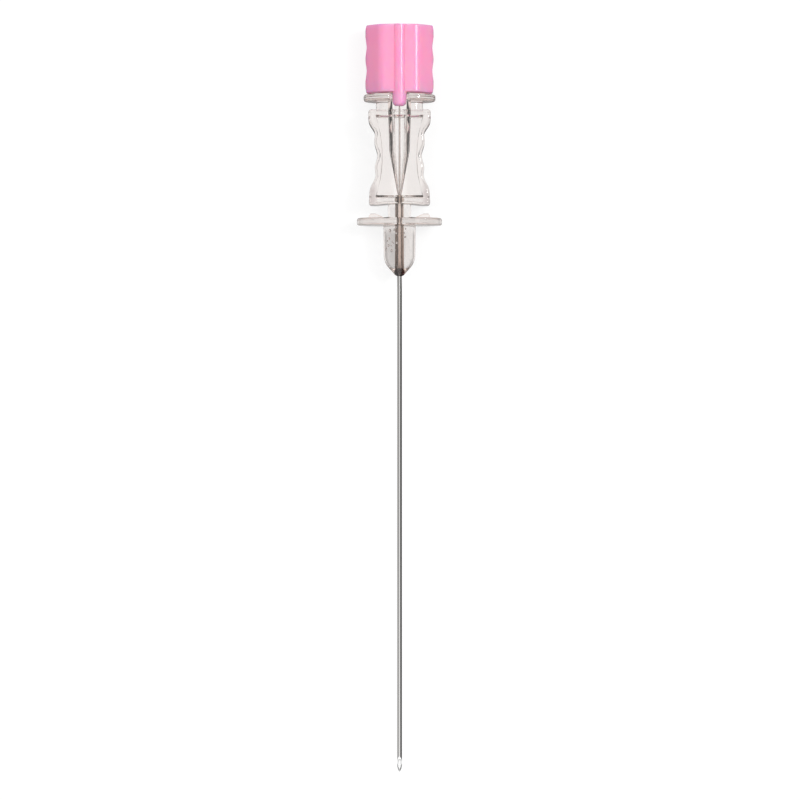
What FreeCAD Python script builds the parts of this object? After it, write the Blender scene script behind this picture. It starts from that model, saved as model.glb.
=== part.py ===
# Spinal needle with its stylet in place, lying on its back on a flat surface.
# The needle's axis runs along Y, with the cap towards +Y and the tip towards -Y. The bevel and the key face up.
# All sizes are in millimetres. A station is a place along the axis, counted from the nose of the hub to the cap.
import FreeCAD
import Part
import os

Vector = FreeCAD.Vector

# Steel tube and rod
needle_length = 90.0  # nose of the hub to the tip
cannula_outer_diameter = 0.88
cannula_inner_diameter = 0.60
stylet_running_clearance = 0.04  # between rod and tube, on the radius
bevel_length = 3.0
lancet_ridge_slope = 0.40  # rise of the ridge where the two side grinds meet
lancet_side_slope = 0.30  # fall of each side grind away from the ridge

# Nose of the hub
nose_radius = 2.95
nose_draft = 0.10  # the nose is this much thinner on the radius where its rounding starts
nose_tip_radius = 0.73
nose_cone_length = 1.35
nose_cone_radius = 1.95
nose_rounding_length = 2.2
nose_rounding_bulge = 0.22

# Winged flange
wing_station = 9.07
wing_thickness = 1.30
wing_span = 15.4
rest_half_depth = 4.5  # wings and cap are equally deep behind the axis, and the part lies on both
wing_flat_half_width = 3.6
wing_edge_round = 0.35
ridge_height = 0.72
ridge_outer = 5.55  # the finger ridge on each wing, measured from the axis
ridge_top_outer = 5.30
ridge_top_inner = 4.30
ridge_inner = 2.80
ridge_half_depth = 3.0
ridge_round = 0.2

# Body with the finger grips
lower_neck_radius = 2.09
body_station = 12.95
body_length = 16.95
body_half_depth = 3.3
foot_drop = 0.25  # the feet of the body reach this much lower than its middle
foot_width = 1.6
body_end_half_width = 5.62
body_corner_round = 0.5
body_edge_round = 0.55

# Wavy grips on both sides of the body. Each drop is measured down from the top of the body, and each
# rise up from its feet.
top_shoulder_drop = 1.1
top_flare_drop = 2.2
top_flare_half_width = 5.55
upper_hollow_drop = 4.4
upper_hollow_half_width = 4.42
upper_rib_drop = 5.6
upper_rib_half_width = 4.55
waist_drop = 8.4
waist_half_width = 3.98
lower_rib_drop = 10.5
lower_rib_half_width = 4.45
lower_hollow_drop = 11.8
lower_hollow_half_width = 4.32
bottom_flare_rise = 2.7
bottom_flare_half_width = 5.36
foot_neck_rise = 1.4
foot_neck_half_width = 5.46

# Windows on the front and back of the body
window_depth = 0.45
window_top_margin = 1.3  # plate left above the window
window_bottom_margin = 1.45
window_end_half_width = 4.25
window_waist_half_width = 3.10
window_end_draft = 0.32  # top and bottom walls of the window lean outwards by this much
window_side_draft = 0.06

# Upper neck, lugs and mouth
upper_neck_length = 1.55
upper_neck_half_width = 4.22
upper_neck_half_depth = 2.75
upper_neck_round = 1.6
lug_thickness = 1.30
lug_half_span = 6.5
lug_half_depth = 4.3
lug_flat_margin = 0.3  # flat front of each lug, past the rounded corner of the notch
lug_edge_round = 0.45
mouth_rim_radius = 2.65
mouth_rim_height = 0.25

# Socket and funnel
socket_mouth_radius = 2.15
socket_taper = 0.03  # loss of radius for each millimetre of depth
socket_depth = 10.5
mouth_chamfer = 0.15
funnel_end_station = 14.3

# Adhesive
adhesive_wall = 0.08
glue_cup_radius = 0.62
glue_cup_depth = 2.9
glue_bead = 0.12  # the glue stands out of the nose by this much

# Stylet cap
cap_length = 12.2
cap_crest_half_width = 6.17
cap_valley_half_width = 5.95
cap_wave_count = 3
cap_face_half_width = 3.35
cap_side_half_depth = 1.3
cap_facet_round = 2.0
cap_end_round = 0.25
cap_seat_clearance = 0.03  # between the mouth of the hub and the underside of the cap
rod_grip_length = 8.0  # rod moulded into the cap

# Key on the cap and its notch in the hub
key_width = 2.5
key_proud = 0.45  # the rib stands out of the cap's front face by this much
key_reach = 2.55  # the key reaches this far below the cap
key_end_round = 0.8
key_side_clearance = 0.3
key_floor_clearance = 0.2  # between the key and the front of the upper neck
notch_corner_round = 0.55

# Worked out from the sizes above
cannula_radius = cannula_outer_diameter / 2
lumen_radius = cannula_inner_diameter / 2
rod_radius = lumen_radius - stylet_running_clearance
tip_station = -needle_length
bond_radius = cannula_radius + adhesive_wall
body_top = body_station + body_length
lug_station = body_top + upper_neck_length
lug_top = lug_station + lug_thickness
mouth_station = lug_top + mouth_rim_height
funnel_start_station = mouth_station - socket_depth
funnel_start_radius = socket_mouth_radius - socket_taper * socket_depth
cap_station = mouth_station + cap_seat_clearance
cap_top = cap_station + cap_length
rod_top = cap_station + rod_grip_length
notch_width = key_width + 2 * key_side_clearance
notch_floor = upper_neck_half_depth
lug_flat_half_width = notch_width / 2 + notch_corner_round + lug_flat_margin
key_back = notch_floor + key_floor_clearance
key_front = rest_half_depth + key_proud

AXIS = Vector(0, 1, 0)
UP = Vector(0, 0, 1)
past = 1.0  # cutting and joining solids run past the faces that they meet by this much


def front_point(x, y):
    """A point of the front view: across the needle and along it."""
    return Vector(x, y, 0)


def end_point(x, z):
    """A point of the view along the axis: across the needle and up."""
    return Vector(x, 0, z)


def outline(point, start, *steps):
    """Closed outline. A step is a corner, or a pair (through, end) for an arc."""
    edges = []
    here = point(*start)
    for step in steps + (start,):
        if isinstance(step[0], tuple):
            through, end = step
            edges.append(Part.Arc(here, point(*through), point(*end)).toShape())
        else:
            end = step
            if point(*end).distanceToPoint(here) < 1e-6:
                continue
            edges.append(Part.LineSegment(here, point(*end)).toShape())
        here = point(*end)
    return Part.Wire(edges)


def turned(wire):
    """Solid turned about the needle's axis from half a section, with x as the radius."""
    return Part.Face(wire).revolve(Vector(0, 0, 0), AXIS, 360)


def slab(wire, low, high):
    """Solid with a front-view outline, from one height to another."""
    face = Part.Face(wire)
    face.translate(UP * low)
    return face.extrude(UP * (high - low))


def plate(wire, station, length):
    """Solid with an outline seen along the axis, from a station on."""
    face = Part.Face(wire)
    face.translate(AXIS * station)
    return face.extrude(AXIS * length)


def box(width, station, length, low, high):
    """Block centred across the needle."""
    corner = Vector(-width / 2, station, low)
    return Part.makeBox(width, length, high - low, corner)


def edges_where(shape, test):
    """Edges whose sampled points between the ends all pass the test."""
    found = []
    for edge in shape.Edges:
        inner_points = edge.discretize(5)[1:-1]
        if all(test(p) for p in inner_points):
            found.append(edge)
    return found


def close(a, b):
    return abs(a - b) < 1e-4


def rounded(shape, radius, test):
    """The shape with the edges that pass the test rounded."""
    return shape.makeFillet(radius, edges_where(shape, test))


def mirrored(points):
    """The same front-view points on the other side of the axis, in reverse order."""
    return [(-x, y) for x, y in reversed(points)]


def smooth_edge(points):
    """One smooth curve through points of the front view."""
    curve = Part.BSplineCurve()
    curve.interpolate([front_point(x, y) for x, y in points])
    return curve.toShape()


def flange_outline(half_span, half_depth, flat_half_width):
    """Flat at the front and back, round at both sides."""
    right = (flat_half_width, half_depth)
    left = (-flat_half_width, half_depth)
    low_left = (-flat_half_width, -half_depth)
    low_right = (flat_half_width, -half_depth)
    return outline(
        end_point,
        right,
        left,
        ((-half_span, 0), low_left),
        low_right,
        ((half_span, 0), right),
    )


def make_nose():
    """Bullet-shaped nose: a slim cylinder with a rounded shoulder and a short cone."""
    shoulder_station = nose_cone_length + nose_rounding_length
    shoulder_radius = nose_radius - nose_draft
    middle_radius = (nose_cone_radius + shoulder_radius) / 2 + nose_rounding_bulge
    middle_station = nose_cone_length + nose_rounding_length / 2
    return turned(
        outline(
            front_point,
            (0, 0),
            (nose_tip_radius, 0),
            (nose_cone_radius, nose_cone_length),
            ((middle_radius, middle_station), (shoulder_radius, shoulder_station)),
            (nose_radius, wing_station),
            (0, wing_station),
        )
    )


def make_wings():
    """Flange with a finger ridge on each wing."""
    wing_outline = flange_outline(wing_span / 2, rest_half_depth, wing_flat_half_width)
    wings = plate(wing_outline, wing_station, wing_thickness)
    wing_top = wing_station + wing_thickness
    wings = rounded(
        wings, wing_edge_round, lambda p: close(p.y, wing_station) or close(p.y, wing_top)
    )
    for side in (-1, 1):
        ridge = outline(
            front_point,
            (side * ridge_inner, wing_top - wing_thickness / 2),
            (side * ridge_inner, wing_top),
            (side * ridge_top_inner, wing_top + ridge_height),
            (side * ridge_top_outer, wing_top + ridge_height),
            (side * ridge_outer, wing_top),
            (side * ridge_outer, wing_top - wing_thickness / 2),
        )
        ridge = slab(ridge, -ridge_half_depth, ridge_half_depth)
        ridge = rounded(ridge, ridge_round, lambda p: close(p.y, wing_top + ridge_height))
        wings = wings.fuse(ridge)
    return wings


def grip_points():
    """Right-hand edge of the body from its top to its feet: a flare, two ribs about a waist, a flare."""
    feet = body_length + foot_drop
    drops = [
        (body_end_half_width, 0.0),
        (body_end_half_width, top_shoulder_drop),
        (top_flare_half_width, top_flare_drop),
        (upper_hollow_half_width, upper_hollow_drop),
        (upper_rib_half_width, upper_rib_drop),
        (waist_half_width, waist_drop),
        (lower_rib_half_width, lower_rib_drop),
        (lower_hollow_half_width, lower_hollow_drop),
        (bottom_flare_half_width, feet - bottom_flare_rise),
        (foot_neck_half_width, feet - foot_neck_rise),
        (body_end_half_width, feet),
    ]
    return [(half_width, body_top - drop) for half_width, drop in drops]


def make_body():
    """Flat block with wavy finger grips, and a shallow window front and back."""
    right = grip_points()
    left = mirrored(right)
    foot = body_station - foot_drop
    foot_inner = body_end_half_width - foot_width
    edges = [
        smooth_edge(right),
        Part.LineSegment(front_point(*right[-1]), front_point(foot_inner, foot)).toShape(),
        Part.Arc(
            front_point(foot_inner, foot),
            front_point(0, body_station),
            front_point(-foot_inner, foot),
        ).toShape(),
        Part.LineSegment(front_point(-foot_inner, foot), front_point(*left[0])).toShape(),
        smooth_edge(left),
        Part.LineSegment(front_point(*left[-1]), front_point(*right[0])).toShape(),
    ]
    body = slab(Part.Wire(edges), -body_half_depth, body_half_depth)
    body = rounded(
        body,
        body_corner_round,
        lambda p: close(abs(p.x), body_end_half_width) and (close(p.y, body_top) or close(p.y, foot)),
    )
    body = rounded(body, body_edge_round, lambda p: close(abs(p.z), body_half_depth))
    for side in (-1, 1):
        body = body.cut(make_window(side))
    return body


def window_wire(height, share):
    """Outline of the window at a height, wider all round by a share of the full draft."""
    top = body_top - window_top_margin + share * window_end_draft
    bottom = body_station + window_bottom_margin - share * window_end_draft
    end = window_end_half_width + share * window_side_draft
    waist = window_waist_half_width + share * window_side_draft
    middle = (top + bottom) / 2
    wire = outline(
        front_point,
        (end, top),
        (-end, top),
        ((-waist, middle), (-end, bottom)),
        (end, bottom),
        ((waist, middle), (end, top)),
    )
    wire.translate(UP * height)
    return wire


def make_window(side):
    """Pocket with drafted walls, cut from the front (1) or the back (-1) of the body."""
    floor = body_half_depth - window_depth
    floor_wire = window_wire(side * floor, 0.0)
    rim_wire = window_wire(side * (body_half_depth + past), (window_depth + past) / window_depth)
    return Part.makeLoft([floor_wire, rim_wire], True, True)


def make_mouth_end():
    """Upper neck, locking lugs and the rim of the mouth, with the notch for the key."""
    neck = box(
        2 * upper_neck_half_width,
        body_top - window_top_margin / 2,
        upper_neck_length + window_top_margin / 2 + lug_thickness / 2,
        -upper_neck_half_depth,
        upper_neck_half_depth,
    )
    neck = rounded(
        neck,
        upper_neck_round,
        lambda p: close(abs(p.x), upper_neck_half_width) and close(abs(p.z), upper_neck_half_depth),
    )
    lug_outline = flange_outline(lug_half_span, lug_half_depth, lug_flat_half_width)
    lugs = plate(lug_outline, lug_station, lug_thickness)
    notch = box(notch_width, lug_station - past, lug_thickness + 2 * past, notch_floor, key_front + past)
    lugs = lugs.cut(notch)
    lugs = rounded(
        lugs,
        notch_corner_round,
        lambda p: close(abs(p.x), notch_width / 2)
        and (close(p.z, lug_half_depth) or close(p.z, notch_floor)),
    )
    lugs = rounded(
        lugs, lug_edge_round, lambda p: close(p.y, lug_station) or close(p.y, lug_top)
    )
    rim = Part.makeCylinder(
        mouth_rim_radius, mouth_station - lug_station, Vector(0, lug_station, 0), AXIS
    )
    return neck.fuse([lugs, rim])


def make_socket():
    """Air inside the hub: tapered socket, funnel, and the hole for tube and glue."""
    return turned(
        outline(
            front_point,
            (0, mouth_station + past),
            (socket_mouth_radius + mouth_chamfer, mouth_station + past),
            (socket_mouth_radius + mouth_chamfer, mouth_station),
            (socket_mouth_radius, mouth_station - mouth_chamfer),
            (funnel_start_radius, funnel_start_station),
            (lumen_radius, funnel_end_station),
            (0, funnel_end_station),
        )
    )


def bond_hole():
    """Space in the hub that the tube and its glue fill."""
    return turned(
        outline(
            front_point,
            (0, -past),
            (glue_cup_radius, -past),
            (glue_cup_radius, 0),
            (bond_radius, glue_cup_depth),
            (bond_radius, funnel_end_station),
            (0, funnel_end_station),
        )
    )


def make_hub():
    """The whole clear moulding."""
    lower_neck_start = wing_station + wing_thickness / 2
    lower_neck = Part.makeCylinder(
        lower_neck_radius,
        body_station + past - lower_neck_start,
        Vector(0, lower_neck_start, 0),
        AXIS,
    )
    hub = make_body().fuse([make_nose(), make_wings(), lower_neck, make_mouth_end()])
    hub = hub.cut(make_socket())
    hub = hub.cut(bond_hole())
    return hub.removeSplitter()


def half_space(point, normal, size):
    """Large block that fills the space on the side of a plane that its normal points to."""
    block = Part.makeBox(size, size, size, Vector(-size / 2, -size / 2, 0))
    block.Placement = FreeCAD.Placement(point, FreeCAD.Rotation(UP, normal))
    return block


def tip_grinds():
    """What grinding takes off the tip: one long bevel and two side grinds that meet in a ridge."""
    wall = cannula_radius - lumen_radius
    bevel_slope = cannula_outer_diameter / bevel_length
    ridge_end = Vector(0, tip_station + wall / lancet_ridge_slope, -lumen_radius)
    size = 4 * bevel_length
    grinds = [half_space(ridge_end, Vector(0, -bevel_slope, 1), size)]
    for side in (-1, 1):
        normal = Vector(side * lancet_side_slope, -lancet_ridge_slope, 1)
        grinds.append(half_space(ridge_end, normal, size))
    return grinds


def ground(shape):
    """The shape with its tip ground."""
    for grind in tip_grinds():
        shape = shape.cut(grind)
    return shape


def make_cannula():
    start = Vector(0, tip_station - past, 0)
    length = funnel_end_station - tip_station + past
    tube = Part.makeCylinder(cannula_radius, length, start, AXIS)
    lumen = Part.makeCylinder(lumen_radius, length, start, AXIS)
    return ground(tube.cut(lumen))


def make_adhesive():
    """Glue between tube and hub, with a small bead at the nose."""
    return turned(
        outline(
            front_point,
            (cannula_radius, -glue_bead),
            (cannula_radius + glue_bead / 2, -glue_bead),
            (glue_cup_radius, 0),
            (bond_radius, glue_cup_depth),
            (bond_radius, funnel_end_station),
            (cannula_radius, funnel_end_station),
        )
    )


def make_rod():
    start = Vector(0, tip_station - past, 0)
    return ground(Part.makeCylinder(rod_radius, rod_top - start.y, start, AXIS))


def cap_section():
    """Eight-sided section of the cap, seen along the axis."""
    return outline(
        end_point,
        (cap_face_half_width, rest_half_depth),
        (-cap_face_half_width, rest_half_depth),
        (-cap_crest_half_width, cap_side_half_depth),
        (-cap_crest_half_width, -cap_side_half_depth),
        (-cap_face_half_width, -rest_half_depth),
        (cap_face_half_width, -rest_half_depth),
        (cap_crest_half_width, -cap_side_half_depth),
        (cap_crest_half_width, cap_side_half_depth),
    )


def cap_wave_points():
    """Right-hand edge of the cap: a valley at both ends and between the waves."""
    points = []
    for i in range(2 * cap_wave_count + 1):
        half_width = cap_crest_half_width if i % 2 else cap_valley_half_width
        points.append((half_width, cap_station + cap_length * i / (2 * cap_wave_count)))
    return points


def make_key():
    """Half-round rib on the front of the cap that runs on below it, as the key."""
    foot = cap_station - key_reach
    half_width = key_width / 2
    shoulder = key_front - half_width
    section = outline(
        end_point,
        (half_width, key_back),
        (half_width, shoulder),
        ((0, key_front), (-half_width, shoulder)),
        (-half_width, key_back),
    )
    rib = plate(section, foot, cap_length + key_reach)
    return rounded(rib, key_end_round, lambda p: close(p.y, foot) and not close(p.z, key_back))


def make_cap():
    """Pink handle: a faceted block with waves down its sides, the key rib, and a hole for the rod."""
    def at_an_end(p):
        return close(p.y, cap_station) or close(p.y, cap_top)

    block = plate(cap_section(), cap_station, cap_length)
    block = rounded(block, cap_facet_round, lambda p: not at_an_end(p))
    block = rounded(block, cap_end_round, at_an_end)
    right = cap_wave_points()
    left = mirrored(right)
    waves = Part.Wire(
        [
            smooth_edge(right),
            Part.LineSegment(front_point(*right[-1]), front_point(*left[0])).toShape(),
            smooth_edge(left),
            Part.LineSegment(front_point(*left[-1]), front_point(*right[0])).toShape(),
        ]
    )
    waves = slab(waves, -rest_half_depth - past, rest_half_depth + past)
    waves = rounded(
        waves, cap_end_round, lambda p: at_an_end(p) and close(abs(p.x), cap_valley_half_width)
    )
    cap = block.common(waves).fuse(make_key())
    hole = Part.makeCylinder(
        rod_radius, rod_grip_length + past, Vector(0, cap_station - past, 0), AXIS
    )
    return cap.cut(hole).removeSplitter()


def main():
    nodes = {
        "needle_hub": make_hub(),
        "needle_cannula": make_cannula(),
        "adhesive_bond": make_adhesive(),
        "stylet_cap": make_cap(),
        "stylet_rod": make_rod(),
    }
    # The part lies on Z = 0, with the middle of its length at Y = 0.
    shift = Vector(0, -(cap_top + tip_station) / 2, rest_half_depth)
    os.makedirs("parts", exist_ok=True)
    for name, shape in nodes.items():
        shape.translate(shift)
        shape.exportStep("parts/" + name + ".step")
        print(name, len(shape.Solids), shape.isValid(), round(shape.Volume, 3))


main()
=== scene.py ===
import math

import bmesh
import bpy
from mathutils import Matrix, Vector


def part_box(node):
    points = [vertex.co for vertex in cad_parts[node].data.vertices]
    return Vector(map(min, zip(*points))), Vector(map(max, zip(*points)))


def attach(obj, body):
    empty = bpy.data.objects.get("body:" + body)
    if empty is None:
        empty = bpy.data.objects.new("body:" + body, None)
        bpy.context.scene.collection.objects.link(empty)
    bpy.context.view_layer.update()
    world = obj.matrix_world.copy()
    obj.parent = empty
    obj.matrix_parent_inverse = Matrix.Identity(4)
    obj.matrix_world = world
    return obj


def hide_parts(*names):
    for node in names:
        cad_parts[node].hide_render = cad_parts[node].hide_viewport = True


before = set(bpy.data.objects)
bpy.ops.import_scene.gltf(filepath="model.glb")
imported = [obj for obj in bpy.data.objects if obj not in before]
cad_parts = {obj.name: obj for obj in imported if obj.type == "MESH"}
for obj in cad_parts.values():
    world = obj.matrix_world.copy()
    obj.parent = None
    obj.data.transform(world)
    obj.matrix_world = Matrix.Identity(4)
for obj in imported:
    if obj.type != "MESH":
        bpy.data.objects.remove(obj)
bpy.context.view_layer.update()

# Steel tube
# A thin stainless tube, drawn and polished, then ground at its tip: one long bevel and two side grinds
# that meet in a ridge. It is glued in the hub and ends at the foot of the socket's funnel.

MM = 0.001
AXIS_HEIGHT = 4.5 * MM  # the needle's axis above the table
NOSE_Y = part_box("needle_hub")[0].y
TIP_Y = NOSE_Y - 90.0 * MM
TUBE_TOP_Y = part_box("needle_cannula")[1].y
TUBE_RADIUS = 0.44 * MM
LUMEN_RADIUS = 0.30 * MM
TUBE_STEPS_ROUND = 96
BEFORE_THE_TIP = 1.0 * MM  # the bar starts this far before the tip, which the grinds then cut off
LUMEN_CUTTER_EXTRA = 2.0 * MM  # the bar that cuts the lumen is this much longer than the tube
SHARP_EDGE = math.radians(28)

# The long bevel and the two side grinds, which all pass through one point of the ridge
BEVEL_SLOPE = 0.88 / 3.0  # the tube's width over the bevel's length
RIDGE_SLOPE = 0.40
SIDE_GRIND_SLOPE = 0.30
RIDGE_POINT = (0.0, TIP_Y + (TUBE_RADIUS - LUMEN_RADIUS) / RIDGE_SLOPE, AXIS_HEIGHT - LUMEN_RADIUS)
GRIND_NORMALS = (
    (0.0, -BEVEL_SLOPE, 1.0),
    (-SIDE_GRIND_SLOPE, -RIDGE_SLOPE, 1.0),
    (SIDE_GRIND_SLOPE, -RIDGE_SLOPE, 1.0),
)
GRIND_BLOCK = 12.0 * MM
FACES_THE_TIP = -0.1  # a face whose normal leans further towards the tip than this was ground

# Streaks for each metre across, along and up
DRAWN_STREAKS = (5200.0, 12.0, 5200.0)
GROUND_STREAKS = (60.0, 9000.0, 3000.0)
NOISE_RANGE = (0.3, 0.7)  # noise seldom goes outside it
STREAK_TONES = (0.88, 1.08)  # shares of the steel's colour
STREAK_BRIGHTEST = 0.7  # share of its roughness
STREAK_DULLEST = 1.35

scene = bpy.context.scene


class Steps:
    """A tree of nodes that is built one node at a time."""

    def __init__(self, tree):
        self.tree = tree

    def add(self, kind, links=None, values=None, **settings):
        """New node, with its inputs joined to sockets or set to values."""
        node = self.tree.nodes.new(kind)
        for name, value in settings.items():
            setattr(node, name, value)
        for name, value in (values or {}).items():
            node.inputs[name].default_value = value
        for name, source in (links or {}).items():
            for one in source if isinstance(source, list) else [source]:
                self.tree.links.new(one, node.inputs[name])
        return node

    def join(self, source, target):
        self.tree.links.new(source, target)

    def work_out(self, operation, *given):
        """Number worked out from sockets and plain numbers."""
        node = self.add("ShaderNodeMath", operation=operation)
        for socket, one in zip(node.inputs, given):
            if isinstance(one, float):
                socket.default_value = one
            else:
                self.join(one, socket)
        return node.outputs[0]

    def ramp(self, value, low, high, at_low, at_high):
        """Number that goes evenly from at_low to at_high while the value goes from low to high."""
        return self.add(
            "ShaderNodeMapRange",
            {"Value": value},
            {"From Min": low, "From Max": high, "To Min": at_low, "To Max": at_high},
        ).outputs["Result"]

    def place(self):
        """Place on the piece."""
        return self.add("ShaderNodeTexCoord").outputs["Object"]

    def apart(self, vector):
        """Three parts of a place or a direction: across, along and up."""
        return self.add("ShaderNodeSeparateXYZ", {"Vector": vector}).outputs

    def noise(self, place, scale, detail, roughness):
        return self.add(
            "ShaderNodeTexNoise",
            {"Vector": place},
            {"Scale": scale, "Detail": detail, "Roughness": roughness},
        ).outputs["Fac"]

    def bump(self, height, strength, depth):
        return self.add(
            "ShaderNodeBump", {"Height": height}, {"Strength": strength, "Distance": depth}
        ).outputs["Normal"]


def new_finish(name):
    """A new material, its steps and its shader's sockets."""
    material = bpy.data.materials.new(name)
    material.use_nodes = True
    return material, Steps(material.node_tree), material.node_tree.nodes["Principled BSDF"].inputs


def streaked_steel(name, colour, roughness, streaks_per_metre, streak_depth):
    """Bright steel with fine streaks, which change its tone and its gloss a little."""
    material, steps, sockets = new_finish(name)
    scaled = steps.add("ShaderNodeMapping", {"Vector": steps.place()}, {"Scale": streaks_per_metre})
    streaks = steps.noise(scaled.outputs["Vector"], scale=1.0, detail=4.0, roughness=0.6)
    tone = steps.ramp(streaks, *NOISE_RANGE, *STREAK_TONES)
    tinted = steps.add("ShaderNodeVectorMath", {"Scale": tone}, {"Vector": colour}, operation="SCALE")
    dullness = steps.ramp(
        streaks, *NOISE_RANGE, STREAK_BRIGHTEST * roughness, STREAK_DULLEST * roughness
    )
    steps.join(tinted.outputs["Vector"], sockets["Base Color"])
    steps.join(dullness, sockets["Roughness"])
    steps.join(steps.bump(streaks, strength=0.4, depth=streak_depth), sockets["Normal"])
    sockets["Metallic"].default_value = 1.0
    return material


drawn_steel = streaked_steel(
    "drawn_steel",
    colour=(0.62, 0.61, 0.60),
    roughness=0.14,
    streaks_per_metre=DRAWN_STREAKS,
    streak_depth=0.0012 * MM,
)
ground_steel = streaked_steel(
    "ground_steel",
    colour=(0.78, 0.78, 0.78),
    roughness=0.22,
    streaks_per_metre=GROUND_STREAKS,
    streak_depth=0.004 * MM,
)


def name_inputs(tree, kind, sizes):
    """Give a tree its named sizes, with the values that they start from."""
    for label, value in sizes.items():
        tree.interface.new_socket(label, in_out="INPUT", socket_type=kind).default_value = value


def ground_needle_tree(name, with_lumen):
    """Nodes that make a round rod or tube along the needle's axis and grind its tip with three planes."""
    tree = bpy.data.node_groups.new(name, "GeometryNodeTree")
    sizes = {
        "Radius": TUBE_RADIUS,
        "Lumen Radius": LUMEN_RADIUS,
        "Top": TUBE_TOP_Y,
        "Start": TIP_Y - BEFORE_THE_TIP,
    }
    name_inputs(tree, "NodeSocketFloat", sizes)
    name_inputs(tree, "NodeSocketInt", {"Steps Round": TUBE_STEPS_ROUND})
    tree.interface.new_socket("Needle", in_out="OUTPUT", socket_type="NodeSocketGeometry")
    steps = Steps(tree)
    given = steps.add("NodeGroupInput").outputs
    length = steps.work_out("SUBTRACT", given["Top"], given["Start"])
    middle = steps.work_out("MULTIPLY", steps.work_out("ADD", given["Top"], given["Start"]), 0.5)
    centre = steps.add("ShaderNodeCombineXYZ", {"Y": middle}, {"Z": AXIS_HEIGHT})

    def round_bar(radius, extra):
        bar_length = steps.work_out("ADD", length, extra)
        bar = steps.add(
            "GeometryNodeMeshCylinder",
            {"Vertices": given["Steps Round"], "Radius": radius, "Depth": bar_length},
            fill_type="NGON",
        )
        return steps.add(
            "GeometryNodeTransform",
            {"Geometry": bar.outputs["Mesh"], "Translation": centre.outputs[0]},
            {"Rotation": (math.pi / 2, 0.0, 0.0)},
        ).outputs["Geometry"]

    cutters = []
    for normal in GRIND_NORMALS:
        block = steps.add("GeometryNodeMeshCube", values={"Size": (GRIND_BLOCK,) * 3})
        raised = steps.add(
            "GeometryNodeTransform",
            {"Geometry": block.outputs["Mesh"]},
            {"Translation": (0.0, 0.0, GRIND_BLOCK / 2)},
        )
        aim = steps.add("FunctionNodeAlignRotationToVector", values={"Vector": normal}, axis="Z")
        tilted = steps.add(
            "GeometryNodeTransform",
            {"Geometry": raised.outputs["Geometry"], "Rotation": aim.outputs["Rotation"]},
            {"Translation": RIDGE_POINT},
        )
        cutters.append(tilted.outputs["Geometry"])
    if with_lumen:
        cutters.append(round_bar(given["Lumen Radius"], LUMEN_CUTTER_EXTRA))
    cut = steps.add(
        "GeometryNodeMeshBoolean",
        {"Mesh 1": round_bar(given["Radius"], 0.0), "Mesh 2": cutters},
        operation="DIFFERENCE",
        solver="EXACT",
    )
    made_real = steps.add("GeometryNodeRealizeInstances", {"Geometry": cut.outputs["Mesh"]})
    drawn = steps.add(
        "GeometryNodeSetMaterial",
        {"Geometry": made_real.outputs["Geometry"]},
        {"Material": drawn_steel},
    )
    _, leans_along, _ = steps.apart(steps.add("GeometryNodeInputNormal").outputs["Normal"])
    is_ground = steps.add(
        "FunctionNodeCompare",
        {"A": leans_along},
        {"B": FACES_THE_TIP},
        data_type="FLOAT",
        operation="LESS_THAN",
    )
    ground = steps.add(
        "GeometryNodeSetMaterial",
        {"Geometry": drawn.outputs["Geometry"], "Selection": is_ground.outputs["Result"]},
        {"Material": ground_steel},
    )
    result = steps.add("NodeGroupOutput")
    steps.join(ground.outputs["Geometry"], result.inputs["Needle"])
    return tree


def put_in_scene(name, data):
    piece = bpy.data.objects.new(name, data)
    scene.collection.objects.link(piece)
    return piece


def made_by_nodes(name, tree, sizes=None):
    """Plain mesh object that a tree of geometry nodes makes, with sharp edges kept sharp."""
    carrier = put_in_scene(name + "_carrier", bpy.data.meshes.new(name + "_carrier"))
    modifier = carrier.modifiers.new("nodes", "NODES")
    modifier.node_group = tree
    for item in tree.interface.items_tree:
        if item.in_out == "INPUT" and item.name in (sizes or {}):
            modifier[item.identifier] = sizes[item.name]
    evaluated = carrier.evaluated_get(bpy.context.evaluated_depsgraph_get())
    mesh = bpy.data.meshes.new_from_object(evaluated)
    bpy.data.objects.remove(carrier)
    mesh.name = name
    mesh.shade_smooth()
    mesh.set_sharp_from_angle(angle=SHARP_EDGE)
    return put_in_scene(name, mesh)


steel_tube = made_by_nodes("steel_tube", ground_needle_tree("ground tube", with_lumen=True))
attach(steel_tube, "needle")
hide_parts("needle_cannula")

# Stylet rod
# A plain stainless wire that fills the tube while the needle goes in. It is moulded into the pink cap
# and was ground together with the tube, so its end lies flush in the bevel.

ROD_SIZES = {"Radius": 0.26 * MM, "Top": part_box("stylet_rod")[1].y, "Steps Round": 64}

wire_steel = streaked_steel(
    "wire_steel",
    colour=(0.94, 0.935, 0.93),
    roughness=0.20,
    streaks_per_metre=DRAWN_STREAKS,
    streak_depth=0.0012 * MM,
)
stylet_wire = made_by_nodes("stylet_wire", ground_needle_tree("ground rod", with_lumen=False), ROD_SIZES)
stylet_wire.data.materials[0] = wire_steel
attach(stylet_wire, "stylet")
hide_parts("stylet_rod")

# Glue
# Clear adhesive with a brown tint, run in between tube and hub. It fills a cup in the nose, stands out
# of it as a small bead, and gathers in a ring round the top of the tube. It wets both faces, so the tube
# is seen straight through it. Its colour is darker on the left, which is painted shade.

GLUE_STEPS_ROUND = 64
GLUE_WALL = 0.08 * MM
IN_THE_STEEL = 0.03 * MM  # the glue's inner face lies this deep in the tube's wall, out of sight
GLUE_INNER = TUBE_RADIUS - IN_THE_STEEL
GLUE_OUTER = TUBE_RADIUS + GLUE_WALL
GLUE_START = 0.02 * MM
GLUE_TOP = TUBE_TOP_Y - NOSE_Y - 0.05 * MM
GLUE_CUP_RADIUS = 0.62 * MM
GLUE_CUP_DEPTH = 2.9 * MM
GLUE_BEAD = 0.12 * MM
GLUE_BEAD_STEPS = 6

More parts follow.
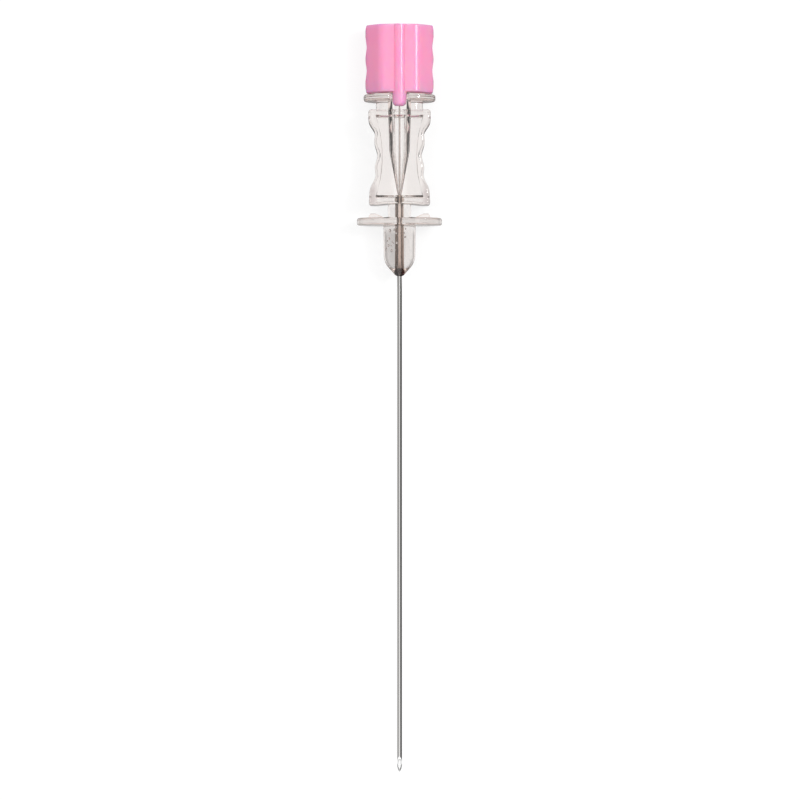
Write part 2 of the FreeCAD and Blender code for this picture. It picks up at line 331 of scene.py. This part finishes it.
# Outline of the sleeve: cup, thin wall and ring, each point by its radius and its distance from the nose
GLUE_OUTLINE = (
    (GLUE_INNER, GLUE_START),
    (GLUE_CUP_RADIUS, GLUE_START),
    (0.97 * GLUE_CUP_RADIUS, 0.4 * GLUE_CUP_DEPTH),
    (GLUE_OUTER, GLUE_CUP_DEPTH),
    (GLUE_OUTER, GLUE_TOP - 1.25 * MM),
    (0.74 * MM, GLUE_TOP - 1.05 * MM),
    (0.90 * MM, GLUE_TOP - 0.70 * MM),
    (0.88 * MM, GLUE_TOP - 0.35 * MM),
    (0.66 * MM, GLUE_TOP - 0.10 * MM),
    (GLUE_OUTER, GLUE_TOP),
    (GLUE_INNER, GLUE_TOP),
)

# Colour of the sleeve by its share of the way from the nose to the tube's top
GLUE_SHADES = (
    (0.10, (0.34, 0.28, 0.25)),
    (0.22, (0.66, 0.59, 0.55)),
    (0.60, (0.80, 0.74, 0.70)),
    (0.74, (0.93, 0.90, 0.88)),
    (0.88, (0.97, 0.95, 0.93)),
    (0.94, (0.93, 0.91, 0.89)),
)
GLUE_PAINTED_SHADE_SIDE = (-0.45 * MM, -0.08 * MM, 0.55, 1.0)  # painted shade: darker on the left
GLUE_DEPTH_TINT = (0.62, 0.50, 0.42)
GLUE_DENSITY = 900.0
RIPPLE_BRIGHTEST = 0.4  # share of a clear finish's roughness
RIPPLE_DULLEST = 1.6


def turned(name, outline, material):
    """Closed ring, turned about the needle's axis from an outline."""
    shape = bmesh.new()
    rings = []
    for radius, along in outline:
        ring = []
        for step in range(GLUE_STEPS_ROUND):
            angle = 2 * math.pi * step / GLUE_STEPS_ROUND
            x = radius * math.cos(angle)
            z = AXIS_HEIGHT + radius * math.sin(angle)
            ring.append(shape.verts.new((x, NOSE_Y + along, z)))
        rings.append(ring)
    for one, other in zip(rings, rings[1:] + rings[:1]):
        for step in range(GLUE_STEPS_ROUND):
            after = (step + 1) % GLUE_STEPS_ROUND
            shape.faces.new((one[step], one[after], other[after], other[step]))
    bmesh.ops.recalc_face_normals(shape, faces=shape.faces)
    mesh = bpy.data.meshes.new(name)
    shape.to_mesh(mesh)
    shape.free()
    mesh.shade_smooth()
    mesh.set_sharp_from_angle(angle=SHARP_EDGE)
    mesh.materials.append(material)
    return put_in_scene(name, mesh)


def clear_finish(name, colour, ior, roughness, ripples_per_metre, ripple_depth, absorbed, density):
    """See-through finish with faint ripples, tinted by its depth."""
    material, steps, sockets = new_finish(name)
    ripples = steps.noise(steps.place(), scale=ripples_per_metre, detail=3.0, roughness=0.5)
    dullness = steps.ramp(
        ripples, *NOISE_RANGE, RIPPLE_BRIGHTEST * roughness, RIPPLE_DULLEST * roughness
    )
    steps.join(dullness, sockets["Roughness"])
    steps.join(steps.bump(ripples, strength=0.5, depth=ripple_depth), sockets["Normal"])
    sockets["Base Color"].default_value = (*colour, 1.0)
    sockets["Transmission Weight"].default_value = 1.0
    sockets["IOR"].default_value = ior
    depth_tint = steps.add(
        "ShaderNodeVolumeAbsorption", values={"Color": (*absorbed, 1.0), "Density": density}
    )
    steps.join(depth_tint.outputs["Volume"], steps.tree.nodes["Material Output"].inputs["Volume"])
    return material, steps, sockets


wet_glue, steps, sockets = clear_finish(
    "glue_in_contact",
    colour=(0.80, 0.72, 0.66),
    ior=1.0,  # it bends no light of its own, because it wets the faces on both sides
    roughness=0.02,
    ripples_per_metre=2500.0,
    ripple_depth=0.001 * MM,
    absorbed=GLUE_DEPTH_TINT,
    density=GLUE_DENSITY,
)
across, along, _ = steps.apart(steps.place())
from_nose = steps.ramp(along, NOSE_Y, TUBE_TOP_Y, 0.0, 1.0)
thinning = steps.add("ShaderNodeValToRGB", {"Fac": from_nose})
stops = thinning.color_ramp.elements
stops.remove(stops[1])
for number, (position, shade) in enumerate(GLUE_SHADES):
    stop = stops.new(position) if number else stops[0]
    stop.position = position
    stop.color = (*shade, 1.0)
# Painted shade: the sleeve's colour is darker on its left side
shaded_left = steps.add(
    "ShaderNodeVectorMath",
    {0: thinning.outputs["Color"], "Scale": steps.ramp(across, *GLUE_PAINTED_SHADE_SIDE)},
    operation="SCALE",
)
steps.join(shaded_left.outputs["Vector"], sockets["Base Color"])
glue_sleeve = turned("glue_sleeve", GLUE_OUTLINE, wet_glue)
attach(glue_sleeve, "needle")
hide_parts("adhesive_bond")

bead_glue, _, _ = clear_finish(
    "glue_bead",
    colour=(0.42, 0.35, 0.31),
    ior=1.5,
    roughness=0.06,
    ripples_per_metre=4000.0,
    ripple_depth=0.003 * MM,
    absorbed=GLUE_DEPTH_TINT,
    density=GLUE_DENSITY,
)
bead_width = GLUE_CUP_RADIUS - TUBE_RADIUS
bead_outline = [(GLUE_INNER, 0.0)]
for step in range(GLUE_BEAD_STEPS + 1):
    swing = math.pi / 2 * step / GLUE_BEAD_STEPS
    bead_outline.append((TUBE_RADIUS + bead_width * math.cos(swing), -GLUE_BEAD * math.sin(swing)))
bead_outline.append((GLUE_INNER, -GLUE_BEAD))
glue_bead = turned("glue_bead", bead_outline, bead_glue)
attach(glue_bead, "needle")

# Hub
# One clear injection moulding: mouth with locking lugs, flat body with finger grips, winged flange and
# bullet-shaped nose. Its outside is polished, the body's lower corners carry painted shade, darker and
# mottled, and its tapered socket is the only hollow that shows.

SAME_POINT = 0.0001 * MM
GLUE_HOLE_REACH = 0.63 * MM
GLUE_HOLE_TOP = TUBE_TOP_Y + 0.001 * MM
PLASTIC_IOR = 1.57
PLASTIC_CLEAR = (0.990, 0.985, 0.980)
PLASTIC_PAINTED_SHADE = (0.690, 0.640, 0.640)

# The corners' painted shade, each side by where it fades in or out, and how much noise mottles it
CORNER_OUTWARD = (3.9 * MM, 4.7 * MM, 0.0, 1.0)
CORNER_BOTTOM = (NOSE_Y + 12.4 * MM, NOSE_Y + 13.2 * MM, 0.0, 1.0)
CORNER_TOP = (NOSE_Y + 15.2 * MM, NOSE_Y + 17.4 * MM, 1.0, 0.0)
SHADE_MOTTLE = (0.7, 1.0)


def clear_hub_mesh(node):
    """Merged copy of the hub's mesh, with the hole that tube and glue fill closed off.

    Otherwise clear faces of hub and glue would lie on each other there, and render dark.
    """
    mesh = node.data.copy()
    mesh.name = "hub_moulding"
    facing = [0.0] * (3 * len(mesh.loops))
    mesh.corner_normals.foreach_get("vector", facing)
    mesh.attributes.new("kept_facing", "FLOAT_VECTOR", "CORNER").data.foreach_set("vector", facing)
    shape = bmesh.new()
    shape.from_mesh(mesh)
    bmesh.ops.remove_doubles(shape, verts=shape.verts, dist=SAME_POINT)

    def in_the_hole(vert):
        from_axis = math.hypot(vert.co.x, vert.co.z - AXIS_HEIGHT)
        return from_axis < GLUE_HOLE_REACH and vert.co.y < GLUE_HOLE_TOP

    hole = [face for face in shape.faces if all(in_the_hole(vert) for vert in face.verts)]
    bmesh.ops.delete(shape, geom=hole, context="FACES")
    open_edges = [edge for edge in shape.edges if edge.is_boundary]
    closing = bmesh.ops.holes_fill(shape, edges=open_edges, sides=0)["faces"]
    bmesh.ops.recalc_face_normals(shape, faces=shape.faces)
    kept_facing = shape.loops.layers.float_vector["kept_facing"]
    for face in closing:
        for loop in face.loops:
            loop[kept_facing] = face.normal
    shape.to_mesh(mesh)
    shape.free()
    mesh.shade_smooth()
    mesh.normals_split_custom_set([tuple(item.vector) for item in mesh.attributes["kept_facing"].data])
    mesh.attributes.remove(mesh.attributes["kept_facing"])
    return mesh


def blended(steps, share, one, other):
    """Colour between two colours. Sockets 6 and 7 of a Mix node, and its output 2, are its colours."""
    node = steps.add("ShaderNodeMix", {"Factor": share}, data_type="RGBA")
    node.inputs[6].default_value = (*one, 1.0)
    node.inputs[7].default_value = (*other, 1.0)
    return node.outputs[2]


clear_plastic, steps, sockets = clear_finish(
    "clear_moulding",
    colour=PLASTIC_CLEAR,
    ior=PLASTIC_IOR,
    roughness=0.03,
    ripples_per_metre=900.0,
    ripple_depth=0.0015 * MM,
    absorbed=(0.82, 0.78, 0.76),
    density=150.0,
)
place = steps.place()
across, along, _ = steps.apart(place)
# Painted shade in the body's lower corners, mottled by noise and mixed into the plastic's colour
outward = steps.ramp(steps.work_out("ABSOLUTE", across), *CORNER_OUTWARD)
in_height = steps.work_out(
    "MULTIPLY", steps.ramp(along, *CORNER_BOTTOM), steps.ramp(along, *CORNER_TOP)
)
in_corners = steps.work_out("MULTIPLY", outward, in_height)
shade_mottle = steps.ramp(steps.noise(place, scale=700.0, detail=2.0, roughness=0.5), *NOISE_RANGE, *SHADE_MOTTLE)
corner_painted_shade = steps.work_out("MULTIPLY", in_corners, shade_mottle)
steps.join(blended(steps, corner_painted_shade, PLASTIC_CLEAR, PLASTIC_PAINTED_SHADE), sockets["Base Color"])
hub_mesh = clear_hub_mesh(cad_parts["needle_hub"])
hub_mesh.materials.clear()
hub_mesh.materials.append(clear_plastic)
hub = put_in_scene("hub_moulding", hub_mesh)
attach(hub, "needle")
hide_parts("needle_hub")

# Air bubbles
# Small voids that the moulding caught in the thick wall of its nose, most of them on one side and a few
# on the other. Both lots come from one tree of nodes, with sizes of their own.

MANY_BUBBLES = {
    "Nearest": 1.3 * MM,
    "Farthest": 2.45 * MM,
    "From Angle": math.radians(100),
    "To Angle": math.radians(175),
    "Low": NOSE_Y + 4.4 * MM,
    "High": NOSE_Y + 8.7 * MM,
    "Smallest": 0.06 * MM,
    "Largest": 0.22 * MM,
}
MANY_BUBBLES_COUNT = {"Count": 18, "Seed": 7}
FEW_BUBBLES = {
    "Nearest": 1.5 * MM,
    "Farthest": 2.3 * MM,
    "From Angle": math.radians(25),
    "To Angle": math.radians(70),
    "Low": NOSE_Y + 5.2 * MM,
    "High": NOSE_Y + 8.4 * MM,
    "Largest": 0.15 * MM,
    "Count": 4,
    "Seed": 3,
}
BUBBLE_STRETCH = 1.5  # the flow drew them out along the needle
BUBBLE_DIVISIONS = 3

void_air, steps, sockets = new_finish("trapped_air")
skin = steps.noise(steps.place(), scale=6000.0, detail=2.0, roughness=0.5)
steps.join(steps.bump(skin, strength=0.4, depth=0.004 * MM), sockets["Normal"])
sockets["Roughness"].default_value = 0.02
sockets["Transmission Weight"].default_value = 1.0
sockets["IOR"].default_value = 1.0 / PLASTIC_IOR


def bubble_tree():
    """Nodes that strew small balls between two radii, two angles and two places along the nose."""
    tree = bpy.data.node_groups.new("air bubbles", "GeometryNodeTree")
    name_inputs(tree, "NodeSocketFloat", MANY_BUBBLES)
    name_inputs(tree, "NodeSocketInt", MANY_BUBBLES_COUNT)
    tree.interface.new_socket("Bubbles", in_out="OUTPUT", socket_type="NodeSocketGeometry")
    steps = Steps(tree)
    given = steps.add("NodeGroupInput").outputs

    def chance(low, high, draw):
        """Random number for each bubble. Sockets 2 and 3 are the lowest and highest plain number."""
        pick = steps.add("FunctionNodeRandomValue", data_type="FLOAT")
        steps.join(given[low], pick.inputs[2])
        steps.join(given[high], pick.inputs[3])
        steps.join(steps.work_out("ADD", given["Seed"], draw), pick.inputs["Seed"])
        return pick.outputs[1]

    angle = chance("From Angle", "To Angle", draw=0.0)
    distance = chance("Nearest", "Farthest", draw=1.0)
    along = chance("Low", "High", draw=2.0)
    size = chance("Smallest", "Largest", draw=3.0)
    x = steps.work_out("MULTIPLY", steps.work_out("COSINE", angle), distance)
    rise = steps.work_out("MULTIPLY", steps.work_out("SINE", angle), distance)
    z = steps.work_out("ADD", rise, AXIS_HEIGHT)
    place = steps.add("ShaderNodeCombineXYZ", {"X": x, "Y": along, "Z": z})
    points = steps.add("GeometryNodePoints", {"Count": given["Count"], "Position": place.outputs[0]})
    ball = steps.add(
        "GeometryNodeMeshIcoSphere", values={"Radius": 1.0, "Subdivisions": BUBBLE_DIVISIONS}
    )
    stretched = steps.work_out("MULTIPLY", size, BUBBLE_STRETCH)
    scale = steps.add("ShaderNodeCombineXYZ", {"X": size, "Y": stretched, "Z": size})
    strewn = steps.add(
        "GeometryNodeInstanceOnPoints",
        {"Points": points.outputs[0], "Instance": ball.outputs["Mesh"], "Scale": scale.outputs[0]},
    )
    made_real = steps.add("GeometryNodeRealizeInstances", {"Geometry": strewn.outputs["Instances"]})
    finished = steps.add(
        "GeometryNodeSetMaterial", {"Geometry": made_real.outputs["Geometry"]}, {"Material": void_air}
    )
    result = steps.add("NodeGroupOutput")
    steps.join(finished.outputs["Geometry"], result.inputs["Bubbles"])
    return tree


strewn_bubbles = bubble_tree()
bubbles = made_by_nodes("air_bubbles", strewn_bubbles)
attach(bubbles, "needle")
few_bubbles = made_by_nodes("few_bubbles", strewn_bubbles, FEW_BUBBLES)
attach(few_bubbles, "needle")

# Stylet cap
# Pink moulded handle, slightly waxy and glossy, with the key rib down its front. Its colour drifts a
# little, and its skin has the very fine grain that the mould's steel left on it.

PINK_DEEP = (0.875, 0.335, 0.530)
PINK_PALE = (0.895, 0.360, 0.560)
PINK_ROUGHNESS = (0.17, 0.27)

pink, steps, sockets = new_finish("pink_moulding")
place = steps.place()
drift = steps.noise(place, scale=160.0, detail=2.0, roughness=0.5)
grain = steps.noise(place, scale=5200.0, detail=3.0, roughness=0.6)
steps.join(blended(steps, drift, PINK_DEEP, PINK_PALE), sockets["Base Color"])
steps.join(steps.ramp(grain, *NOISE_RANGE, *PINK_ROUGHNESS), sockets["Roughness"])
steps.join(steps.bump(grain, strength=0.3, depth=0.002 * MM), sockets["Normal"])
sockets["IOR"].default_value = 1.5
sockets["Subsurface Weight"].default_value = 0.8
sockets["Subsurface Radius"].default_value = (1.0, 0.20, 0.45)
sockets["Subsurface Scale"].default_value = 5.0 * MM
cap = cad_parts["stylet_cap"]
cap.data.materials[0] = pink

# Table, light and camera
# A white table and a white surround. The eye sees both evenly, while steel and clear plastic see the
# surround darker to its sides and the table with painted shade in zones under and beside the hub. Two
# soft lamps hang beyond the cap, left and right, and a narrow third one gives the cap its highlights.
# The camera looks straight down.

TABLE_HALF = 1.5
TABLE_CORNERS = ((-1, -1), (1, -1), (1, 1), (-1, 1))
TABLE_WHITE = 0.24
WHITE_LOST_IN_GLOSS = 0.85
PLAIN_WHITE = (1.0, 1.0, 1.0)
ROOM_BROWN = (1.0, 0.88, 0.83)

# The table's own light, as it is seen plainly, by soft light, off a gloss, through the plastic, and
# thrown back by the plastic's walls
TABLE_GLOW = 0.78
SOFT_GLOW = 0.45
GLOSS_GLOW = 0.50
GLOSS_GLOW_BY_BODY = -0.38
THROUGH_GLOW = 0.88
TURNED_GLOW = 0.88

# Zones of the table under and beside the hub, which carry its painted shade, each by where it fades in or
# out
TUBE_ENDS = (NOSE_Y - 2.0 * MM, NOSE_Y, 1.0, 0.0)
NOSE_ENDS = (NOSE_Y + 7.6 * MM, NOSE_Y + 8.8 * MM, 1.0, 0.0)
NECK_ENDS = (NOSE_Y + 12.4 * MM, NOSE_Y + 13.0 * MM, 1.0, 0.0)
BODY_STARTS = (NOSE_Y + 12.0 * MM, NOSE_Y + 14.0 * MM, 0.0, 1.0)
BODY_ENDS = (NOSE_Y + 29.7 * MM, NOSE_Y + 30.4 * MM, 1.0, 0.0)
NEAR_AXIS = (2.7 * MM, 3.3 * MM, 1.0, 0.0)
OFF_AXIS = (1.5 * MM, 3.5 * MM, 0.0, 1.0)
ZONE_SLANT = -0.06  # far to the side, trapped light lands further up

# Painted shade and light across the table: from where, to where, and how much is added at each
BESIDE_TUBE = (-0.3 * MM, 0.6 * MM, 0.20, -0.48)
BODY_TO_RIGHT = (2.0 * MM, 24.0 * MM, 0.0, -0.42)
BODY_MIDDLE = (0.8 * MM, 1.6 * MM, 0.12, 0.0)
FAR_LEFT = (-50.0 * MM, -8.0 * MM, -0.25, 0.0)
NOSE_TO_RIGHT = (-0.25 * MM, 0.15 * MM, -0.05, -0.26)
NOSE_OUTWARD = (0.9 * MM, 1.6 * MM, 0.0, -0.25)
NOSE_LEFT_EDGE = (-2.1 * MM, -1.5 * MM, -0.28, 0.0)
NECK_TO_RIGHT = (-0.25 * MM, 0.15 * MM, 0.0, -0.10)
BODY_WALLS = (-2.0 * MM, 2.0 * MM, -0.88, -0.86)
NOSE_WALLS = (-1.0 * MM, 1.0 * MM, -0.77, -0.40)

table_mesh = bpy.data.meshes.new("table")
table_points = [(x * TABLE_HALF, y * TABLE_HALF, 0.0) for x, y in TABLE_CORNERS]
table_mesh.from_pydata(table_points, [], [(0, 1, 2, 3)])
table = put_in_scene("table", table_mesh)


def total(steps, shares):
    """Sum of shares. Each share is two numbers or sockets, which are multiplied."""
    so_far = 0.0
    for one, other in shares:
        so_far = steps.work_out("MULTIPLY_ADD", one, other, so_far)
    return so_far


def kinds_of_ray(steps):
    """How far a ray comes plainly, off a gloss, as soft light, through the plastic, or turned in it.

    A ray is turned when the plastic's walls have thrown it back once or twice. One that they have thrown
    back more often has lost its way, and counts as one that comes through.
    """
    path = steps.add("ShaderNodeLightPath").outputs
    refracted = path["Is Transmission Ray"]
    times = path["Glossy Depth"]
    thrown_back = steps.ramp(times, 0.0, 1.0, 0.0, 1.0)
    lost = steps.ramp(times, 2.0, 3.0, 0.0, 1.0)
    turned_ray = total(steps, [(refracted, steps.work_out("SUBTRACT", thrown_back, lost))])
    through = steps.work_out("SUBTRACT", refracted, turned_ray)
    refracted_gloss = total(steps, [(refracted, path["Is Glossy Ray"])])
    glossy = steps.work_out("SUBTRACT", path["Is Glossy Ray"], refracted_gloss)
    return path["Is Camera Ray"], glossy, path["Is Diffuse Ray"], through, turned_ray


def room_tint(steps, turned_ray):
    """White, or the brown of a room for light that the plastic has turned."""
    return blended(steps, turned_ray, PLAIN_WHITE, ROOM_BROWN)


white, steps, _ = new_finish("white_table")
steps.tree.nodes.remove(steps.tree.nodes["Principled BSDF"])
plain, glossy, soft, through, turned_ray = kinds_of_ray(steps)
across, along, _ = steps.apart(steps.place())
aside = steps.work_out("ABSOLUTE", across)
slanted = total(steps, [(aside, ZONE_SLANT), (1.0, along)])
near_axis = steps.ramp(aside, *NEAR_AXIS)
under_nose = total(steps, [(near_axis, steps.ramp(along, *NOSE_ENDS))])
under_neck = total(steps, [(near_axis, steps.ramp(along, *NECK_ENDS))])
above_flange = steps.ramp(slanted, *BODY_STARTS)
under_body = total(steps, [(above_flange, steps.ramp(slanted, *BODY_ENDS))])
beside_body = total(steps, [(under_body, steps.ramp(aside, *OFF_AXIS))])
# Painted dark reflection beside the tube and by the body, seen off a gloss
in_gloss = total(
    steps,
    [
        (steps.ramp(along, *TUBE_ENDS), steps.ramp(across, *BESIDE_TUBE)),
        (above_flange, GLOSS_GLOW_BY_BODY),
        (1.0, GLOSS_GLOW),
    ],
)
# Painted shade under the nose, darker to the right and outward
nose_painted_shade = total(
    steps,
    [
        (1.0, steps.ramp(across, *NOSE_TO_RIGHT)),
        (1.0, steps.ramp(aside, *NOSE_OUTWARD)),
        (1.0, steps.ramp(across, *NOSE_LEFT_EDGE)),
    ],
)
# Painted shade under the body, nose and neck, seen through the plastic
in_plastic = total(
    steps,
    [
        (1.0, THROUGH_GLOW),
        (above_flange, steps.ramp(across, *BODY_TO_RIGHT)),
        (above_flange, steps.ramp(aside, *BODY_MIDDLE)),
        (1.0, steps.ramp(across, *FAR_LEFT)),
        (under_nose, nose_painted_shade),
        (under_neck, steps.ramp(across, *NECK_TO_RIGHT)),
    ],
)
# Painted shade beside the body and under the nose, seen in light that the plastic's walls throw back
off_the_walls = total(
    steps,
    [
        (1.0, TURNED_GLOW),
        (beside_body, steps.ramp(across, *BODY_WALLS)),
        (under_nose, steps.ramp(across, *NOSE_WALLS)),
    ],
)
glow = total(
    steps,
    [
        (plain, TABLE_GLOW),
        (soft, SOFT_GLOW),
        (glossy, in_gloss),
        (through, in_plastic),
        (turned_ray, off_the_walls),
    ],
)
lit_white = total(
    steps,
    [
        (turned_ray, -TABLE_WHITE),
        (glossy, -WHITE_LOST_IN_GLOSS * TABLE_WHITE),
        (1.0, TABLE_WHITE),
    ],
)
colour = steps.add("ShaderNodeCombineColor", {"Red": lit_white, "Green": lit_white, "Blue": lit_white})
lit = steps.add("ShaderNodeBsdfDiffuse", {"Color": colour.outputs["Color"]})
own = steps.add("ShaderNodeEmission", {"Strength": glow, "Color": room_tint(steps, turned_ray)})
both = steps.add("ShaderNodeAddShader", {0: lit.outputs[0], 1: own.outputs[0]})
steps.join(both.outputs[0], steps.tree.nodes["Material Output"].inputs["Surface"])
table_mesh.materials.append(white)

# The surround's own light: in general, as it is seen plainly, and through the plastic
SURROUND_LIGHT = 0.60
PLAIN_LIGHT = 1.0
THROUGH_LIGHT = 0.92

# Changes of the surround's light by how far a direction leans, from -1, level to the left, to 1, level
# to the right: from which lean, to which lean, and the light at each
GLOSS_TO_RIGHT = (-0.1, 0.7, 0.43, 0.17)
GLOSS_OVERHEAD_LEFT = (-0.45, -0.20, 0.0, 1.0)
GLOSS_OVERHEAD_RIGHT = (0.10, 0.35, 0.95, 0.0)
TURNED_OVERHEAD = (0.62, 0.80, 1.35, 0.0)
TURNED_SIDES = (0.62, 0.80, 0.0, 1.0)
TURNED_TO_RIGHT = (-0.2, 0.2, 0.25, 0.42)

world = bpy.data.worlds.new("surround")
scene.world = world
world.use_nodes = True
world.node_tree.nodes.clear()
steps = Steps(world.node_tree)
plain, glossy, _, through, turned_ray = kinds_of_ray(steps)
lean, _, _ = steps.apart(steps.add("ShaderNodeTexCoord").outputs["Generated"])
sideways = steps.work_out("ABSOLUTE", lean)
in_gloss = total(
    steps,
    [
        (steps.ramp(lean, *GLOSS_OVERHEAD_RIGHT), steps.ramp(lean, *GLOSS_OVERHEAD_LEFT)),
        (1.0, steps.ramp(lean, *GLOSS_TO_RIGHT)),
    ],
)
off_the_walls = total(
    steps,
    [
        (steps.ramp(sideways, *TURNED_SIDES), steps.ramp(lean, *TURNED_TO_RIGHT)),
        (1.0, steps.ramp(sideways, *TURNED_OVERHEAD)),
    ],
)
lightness = total(
    steps,
    [
        (plain, PLAIN_LIGHT - SURROUND_LIGHT),
        (1.0, SURROUND_LIGHT),
        (glossy, -SURROUND_LIGHT),
        (glossy, in_gloss),
        (through, THROUGH_LIGHT - SURROUND_LIGHT),
        (turned_ray, -SURROUND_LIGHT),
        (turned_ray, off_the_walls),
    ],
)
background = steps.add(
    "ShaderNodeBackground", {"Strength": lightness, "Color": room_tint(steps, turned_ray)}
)
result = steps.add("ShaderNodeOutputWorld")
steps.join(background.outputs[0], result.inputs["Surface"])

LAMP_Y = 0.20
LAMP_HEIGHT = 0.75
HUB_MIDDLE_Y = 0.04


def soft_lamp(name, x, size, watts, shows_in_gloss):
    """Rectangular lamp that faces the middle of the hub."""
    lamp_data = bpy.data.lights.new(name, "AREA")
    lamp_data.shape = "RECTANGLE"
    lamp_data.size, lamp_data.size_y = size
    lamp_data.energy = watts
    lamp = put_in_scene(name, lamp_data)
    lamp.location = (x, LAMP_Y, LAMP_HEIGHT)
    aim = lamp.location.copy()
    aim.y -= HUB_MIDDLE_Y
    lamp.rotation_euler = aim.to_track_quat("Z", "Y").to_euler()
    lamp.visible_camera = False
    lamp.visible_glossy = shows_in_gloss
    lamp.visible_transmission = False


soft_lamp("right_lamp", x=0.34, size=(0.42, 0.42), watts=1.5, shows_in_gloss=False)
soft_lamp("left_lamp", x=-0.34, size=(0.42, 0.42), watts=1.6, shows_in_gloss=False)
soft_lamp("strip_lamp", x=0.56, size=(0.14, 0.28), watts=2.6, shows_in_gloss=True)

CAMERA_X = 0.09 * MM
CAMERA_Y = -0.19 * MM
CAMERA_ABOVE_AXIS = 0.70
VIEW_WIDTH = 145.04 * MM
SENSOR_WIDTH = 36.0

camera_data = bpy.data.cameras.new("camera")
camera_data.sensor_width = SENSOR_WIDTH
camera_data.lens = SENSOR_WIDTH * CAMERA_ABOVE_AXIS / VIEW_WIDTH
camera_data.clip_start = 0.01
camera_data.clip_end = 10.0
camera = put_in_scene("camera", camera_data)
camera.location = (CAMERA_X, CAMERA_Y, AXIS_HEIGHT + CAMERA_ABOVE_AXIS)
scene.camera = camera

scene.view_settings.view_transform = "Standard"
scene.cycles.glossy_bounces = 12  # with fewer, light that the clear hub traps ends as black specks
